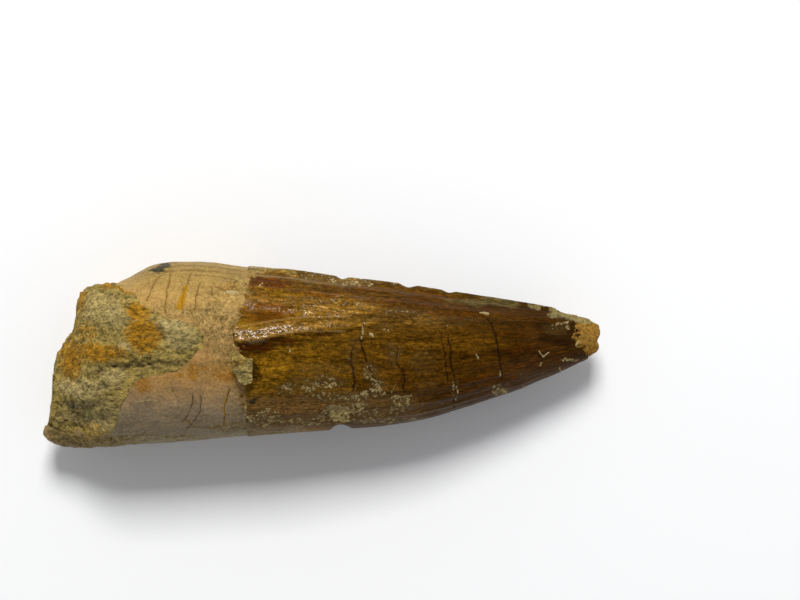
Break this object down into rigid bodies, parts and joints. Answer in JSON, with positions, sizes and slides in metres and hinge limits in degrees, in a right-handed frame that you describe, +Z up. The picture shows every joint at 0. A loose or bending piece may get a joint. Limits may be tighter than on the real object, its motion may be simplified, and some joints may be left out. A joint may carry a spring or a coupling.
{
  "type": "fossil dinosaur tooth",
  "caption": "Conical fluted fossil tooth with a glossy brown crown, broken tip and smooth root, lying on its side with sandstone matrix cemented to the root end.",
  "frame": {"origin": "bottom centre of the bounding box, on the surface that the tooth lies on", "axes": "+X from the broken root to the broken tip, +Y towards the sharper keeled margin, +Z up"},
  "size_m": [0.0568, 0.0192, 0.0137],
  "materials": {
    "fossil_tooth": "glossy mineralised enamel on the crown, satin dentine on the root",
    "sandstone": "rough grainy sandstone with orange iron stains"
  },
  "bodies": {
    "root": {"tooth": "fossil_tooth", "sandstone_matrix": "sandstone", "matrix_flake": "sandstone", "notch_sandstone": "sandstone"}
  },
  "joints": []
}
